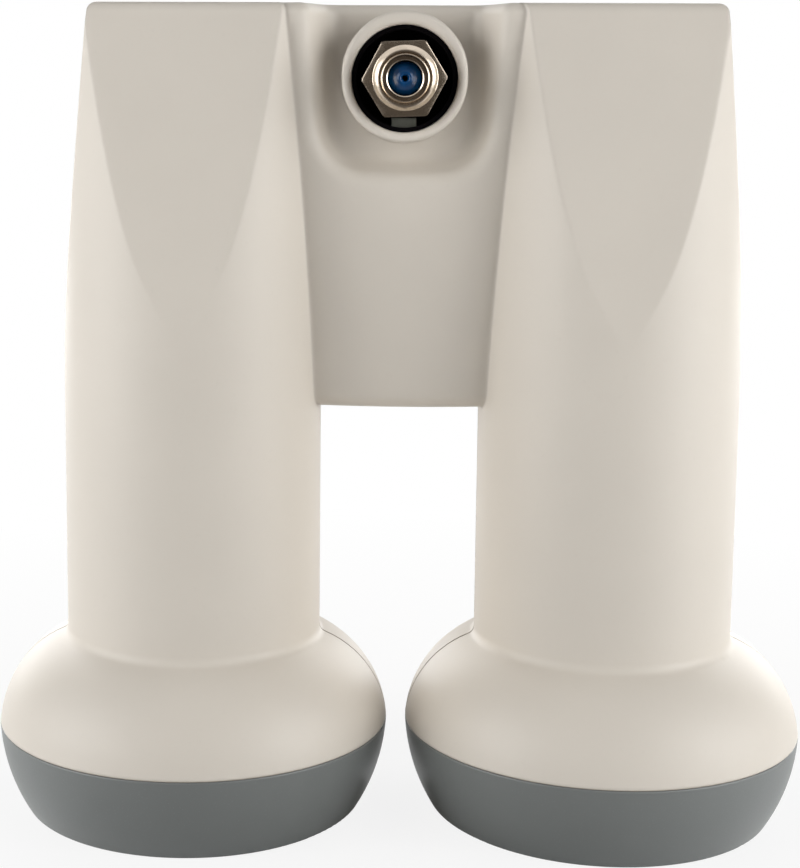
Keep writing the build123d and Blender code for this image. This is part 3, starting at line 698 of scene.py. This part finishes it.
class RECEIVER_OT_dress_inside(bpy.types.Operator):
    """Give the chassis, the board and the small parts their finishes"""

    bl_idname = "receiver_head.dress_inside"
    bl_label = "Dress Inside"

    def execute(self, context):
        look = context.scene.receiver_head.inside
        rubber = plain_stock("black_rubber", opaque(look.rubber_colour), 0.3 * MM, 0.9, shine=0.04)
        casting = plain_stock(
            "cast_metal", opaque(look.casting_colour), 0.5 * MM, 0.55, metallic=0.85, grain_height=0.03 * MM
        )
        brass = plain_stock("probe_brass", (0.72, 0.53, 0.22, 1.0), 0.2 * MM, 0.3, metallic=1.0)
        bronze = plain_stock("dark_bronze", (0.03, 0.022, 0.014, 1.0), 0.2 * MM, 0.5, metallic=0.6)
        white = plain_stock("white_insulation", (0.8, 0.8, 0.77, 1.0), 0.3 * MM, 0.45, contrast=0.04)
        sheet = plain_stock("sheet_metal", (0.6, 0.6, 0.61, 1.0), 0.3 * MM, 0.35, metallic=1.0)
        zinc = plain_stock("screw_steel", (0.5, 0.5, 0.51, 1.0), 0.2 * MM, 0.35, metallic=1.0)
        chip = plain_stock("chip_moulding", (0.02, 0.02, 0.022, 1.0), 0.1 * MM, 0.55)
        can = plain_stock("can_metal", (0.62, 0.61, 0.58, 1.0), 0.2 * MM, 0.28, metallic=1.0)
        ceramic = plain_stock("tan_ceramic", (0.3, 0.2, 0.11, 1.0), 0.1 * MM, 0.4)
        ferrite = plain_stock("ferrite", (0.06, 0.06, 0.065, 1.0), 0.15 * MM, 0.5)
        paint(rubber, "left_cap_seal", "right_cap_seal", "connector_gasket")
        paint(casting, "cast_chassis")
        paint(brass, "straight_probes", "bent_probes", "isolation_pins")
        paint(bronze, "connector_contact")
        paint(white, "probe_sleeves", "connector_bush")
        paint(board_laminate(look), "circuit_board")
        paint(sheet, "shield_lid")
        paint(zinc, "lid_screws")
        paint(chip, "lna_transistors", "converter_chips", "switch_chip", "voltage_regulator")
        paint(can, "reference_crystals")
        paint(ceramic, "filter_capacitors")
        paint(ferrite, "choke_coils")
        return {"FINISHED"}


class RECEIVER_OT_set_stage(bpy.types.Operator):
    """Set up the floor, the lamps, the white background and the camera"""

    bl_idname = "receiver_head.set_stage"
    bl_label = "Set Stage"

    def execute(self, context):
        look = context.scene.receiver_head.studio
        lay_floor(look)
        light_room(look)
        hang_lamps(look)
        place_camera(look)
        context.scene.view_settings.view_transform = "Standard"
        return {"FINISHED"}


# Rows of the turned pieces and values of the thread


def socket_rows(look):
    """Section of the socket's body, from the back of its stem over the hexagon to its tip and back inside."""
    tip = -socket_low.y
    back = -socket_high.y
    hexagon_back = back + look.stem_length
    hexagon_front = hexagon_back + look.hexagon_depth
    root = look.thread_radius - look.thread_height
    outline = hexagon_radius(look.hexagon_flats, look.hexagon_turn)
    groove_floor = tip - look.groove_depth
    rim_foot = tip - look.rim_height
    inner_crown = tip - look.inner_rim_drop
    inner_foot = inner_crown - look.inner_rim_height
    inner_rim = look.groove_radius - look.groove_width

    def hexagon_row(inset, depth):
        return lambda turn: (outline(turn) - inset, depth)

    rows = [
        (look.stem_radius, back),
        (look.stem_radius, hexagon_back),
        hexagon_row(look.edge_width, hexagon_back),
        hexagon_row(0, hexagon_back + look.edge_drop),
        hexagon_row(0, hexagon_front - look.edge_drop),
        hexagon_row(look.edge_width, hexagon_front),
        (root, hexagon_front),
        (root, rim_foot),
    ]
    rows += crowned_rim(look.thread_radius - look.crest_inset, look.groove_radius, rim_foot, tip)
    rows += [(look.groove_radius, groove_floor), (inner_rim, groove_floor)]
    rows += crowned_rim(inner_rim, look.bore_radius, inner_foot, inner_crown)
    bore_floor = hexagon_back + look.bore_start
    seat = -ferrule_high.y
    crimp = ferrule_high.x + look.press_gap
    rows += [
        (look.bore_radius, seat + look.crimp_height),
        (crimp, seat + look.crimp_height),
        (crimp, seat),
        (look.bore_radius, seat),
        (look.bore_radius, bore_floor),
        (look.stem_bore, bore_floor),
        (look.stem_bore, back),
    ]
    return rows


def thread_values(look, nickel):
    """Inputs of the thread's node tree."""
    start = -socket_high.y + look.stem_length + look.hexagon_depth + look.thread_pitch / 2
    end = -socket_low.y - look.thread_pitch
    overlap = 0.05 * MM
    ridge = look.thread_height + overlap
    return {
        "Root Radius": look.thread_radius - ridge / 2,
        "Pitch": look.thread_pitch,
        "Length": end - start,
        "Ridge Height": ridge,
        "Ridge Foot": 0.9 * look.thread_pitch,
        "Ridge Crest": 0.16 * look.thread_pitch,
        "Start": (0.0, -start, SOCKET_AXIS.z),
        "Finish": nickel,
    }


def insulation_rows(look):
    """Section of the insulation, from its foot over its dome and down the mouth."""
    foot = insulator_high.x
    nose = ferrule_high.x - look.ring_wall - look.press_gap
    floor = -insulator_high.y
    shoulder = -ferrule_high.y
    crown = -insulator_low.y
    lip = look.mouth_radius + look.mouth_lip
    sphere = (nose**2 + look.dome_height**2) / (2 * look.dome_height)
    steps = 14
    rows = [(foot, floor), (foot, shoulder), (nose, shoulder)]
    for step in range(steps + 1):
        radius = nose + (lip - nose) * step / steps
        rows.append((radius, crown - sphere + math.sqrt(sphere**2 - radius**2)))
    top = rows[-1][1]
    run = lip - look.hole_radius
    for step in range(1, steps + 1):
        turn = FULL_TURN / 4 * step / steps
        rows.append((lip - run * math.sin(turn), top - look.mouth_depth * (1 - math.cos(turn))))
    rows.append((look.hole_radius, floor))
    return rows


def ferrule_rows(look):
    """Section of the thin ring round the insulation, with an edge that leans inwards."""
    outer = ferrule_high.x
    inner = outer - look.ring_wall
    back = -ferrule_high.y
    edge = -ferrule_low.y
    fall = 0.6 * look.ring_wall
    return [(inner, back), (outer, back), (outer, edge), (inner, edge - fall)]


# Studio


def lay_floor(look):
    """Plain pale floor that fades to the background's white with distance and keeps the shadow."""
    reach = 3.0
    mesh = bpy.data.meshes.new("floor")
    corners = [(-reach, -reach, 0), (reach, -reach, 0), (reach, reach, 0), (-reach, reach, 0)]
    mesh.from_pydata(corners, [], [(0, 1, 2, 3)])
    floor = bpy.data.objects.new("floor", mesh)
    bpy.context.scene.collection.objects.link(floor)
    material, tree = new_finish("studio_floor")
    place = object_place(tree)
    distance = place.node("ShaderNodeVectorMath", {"operation": "LENGTH"}, {0: place}, "Value")
    outwards = place.node("ShaderNodeVectorMath", {"operation": "NORMALIZE"}, {0: place})
    forward = outwards.node("ShaderNodeSeparateXYZ", None, {"Vector": outwards}, "Y")
    white, seen = background_white(tree, forward, look)
    paper = tree.node("ShaderNodeBsdfDiffuse", None, {"Color": opaque(look.floor_colour)})
    glow = tree.node("ShaderNodeEmission", None, {"Color": white, "Strength": 1.0})
    fade = between(distance, look.glow_near, look.glow_far, look.floor_glow, 1.0)
    shown = tree.node("ShaderNodeMixShader", None, {0: fade * seen, 1: paper, 2: glow})
    tree.node("ShaderNodeOutputMaterial", None, {"Surface": shown})
    mesh.materials.append(material)
    floor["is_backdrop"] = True


def background_white(tree, forward, look):
    """Colour of the white background, and whether a ray shows it.

    The camera, metal and glass all show it, and to metal the room behind the camera is dim.
    """
    camera = tree.node("ShaderNodeLightPath", output="Is Camera Ray")
    glossy = camera.also("Is Glossy Ray")
    clear = camera.also("Is Transmission Ray")
    straight = camera.math("MAXIMUM", camera, clear)
    bright = camera.math("MAXIMUM", straight, between(forward, ROOM_DIM, ROOM_BRIGHT))
    backdrop = mix_colours(bright, opaque(look.room_colour), (1, 1, 1, 1))
    return backdrop, camera.math("MAXIMUM", straight, glossy)


def light_room(look):
    """White background, a soft fill, and for metal a darker room behind the camera."""
    world = bpy.data.worlds.new("studio")
    world.use_nodes = True
    world.node_tree.nodes.clear()
    tree = Wire(world.node_tree)
    direction = tree.node("ShaderNodeTexCoord", output="Generated")
    forward = direction.node("ShaderNodeSeparateXYZ", None, {"Vector": direction}, "Y")
    white, seen = background_white(tree, forward, look)
    strength = between(seen, 0.0, 1.0, look.fill_strength, 1.0)
    light = tree.node("ShaderNodeBackground", None, {"Color": white, "Strength": strength})
    tree.node("ShaderNodeOutputWorld", None, {"Surface": light})
    bpy.context.scene.world = world


def hang_lamp(name, place, target, size, watts):
    """A soft rectangular lamp that faces a point."""
    lamp = bpy.data.lights.new(name, "AREA")
    lamp.shape = "RECTANGLE"
    lamp.size, lamp.size_y = size
    lamp.energy = watts
    holder = bpy.data.objects.new(name, lamp)
    aim = (target - place).to_track_quat("-Z", "Y")
    holder.matrix_world = Matrix.Translation(place) @ aim.to_matrix().to_4x4()
    bpy.context.scene.collection.objects.link(holder)


def hang_lamps(look):
    """Soft lamps at both sides: beside the head, in front of it and behind it."""
    low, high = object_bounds()
    middle = Vector((0, 0, (low.z + high.z) / 2))
    for side, name, share in ((-1, "left", 1 - look.lamp_balance), (1, "right", look.lamp_balance)):
        lamps = (
            ("side", look.side_lamp_angle, look.side_lamp_power / 2),
            ("front", look.front_lamp_angle, look.front_lamp_power * share),
            ("back", look.back_lamp_angle, look.back_lamp_power / 2),
        )
        for stand, turn, watts in lamps:
            level = look.lamp_distance * math.cos(look.lamp_rise)
            rise = look.lamp_distance * math.sin(look.lamp_rise)
            place = middle + Vector((side * level * math.sin(turn), -level * math.cos(turn), rise))
            hang_lamp(f"{name}_{stand}_lamp", place, middle, (look.lamp_width, look.lamp_height), watts)


def place_camera(look):
    """Camera at the photograph's place."""
    data = bpy.data.cameras.new("camera")
    data.sensor_width = 36.0
    data.lens = look.camera_lens
    data.shift_x, data.shift_y = look.camera_shift
    data.clip_start = 0.01
    data.clip_end = 20.0
    camera = bpy.data.objects.new("camera", data)
    turn = Matrix.Rotation(look.camera_yaw, 4, "Z")
    tilt = Matrix.Rotation(math.pi / 2 - look.camera_pitch, 4, "X")
    roll = Matrix.Rotation(look.camera_roll, 4, "Z")
    camera.matrix_world = Matrix.Translation(look.camera_place) @ turn @ tilt @ roll
    bpy.context.scene.collection.objects.link(camera)
    bpy.context.scene.camera = camera


# Panel and registration


OPERATORS = (
    RECEIVER_OT_dress_shells,
    RECEIVER_OT_dress_caps,
    RECEIVER_OT_make_socket,
    RECEIVER_OT_make_insulation,
    RECEIVER_OT_dress_inside,
    RECEIVER_OT_set_stage,
)


class RECEIVER_PT_head(bpy.types.Panel):
    """Settings and steps of the receiver head"""

    bl_idname = "RECEIVER_PT_head"
    bl_label = "Receiver Head"
    bl_space_type = "VIEW_3D"
    bl_region_type = "UI"
    bl_category = "Receiver Head"

    def draw(self, context):
        look = context.scene.receiver_head
        for operator in OPERATORS:
            self.layout.operator(operator.bl_idname)
        for group in (look.housing, look.socket, look.inside, look.studio):
            box = self.layout.box()
            for name in group.__annotations__:
                box.prop(group, name)


GROUPS = (HousingLook, SocketLook, InsideLook, StudioLook, ReceiverHeadLook)


def register():
    for item in GROUPS + OPERATORS + (RECEIVER_PT_head,):
        bpy.utils.register_class(item)
    bpy.types.Scene.receiver_head = PointerProperty(type=ReceiverHeadLook)


def unregister():
    del bpy.types.Scene.receiver_head
    for item in reversed(GROUPS + OPERATORS + (RECEIVER_PT_head,)):
        bpy.utils.unregister_class(item)


def main():
    register()
    bpy.ops.receiver_head.dress_shells()
    bpy.ops.receiver_head.dress_caps()
    bpy.ops.receiver_head.make_socket()
    bpy.ops.receiver_head.make_insulation()
    bpy.ops.receiver_head.dress_inside()
    bpy.ops.receiver_head.set_stage()


if __name__ == "__main__":
    main()
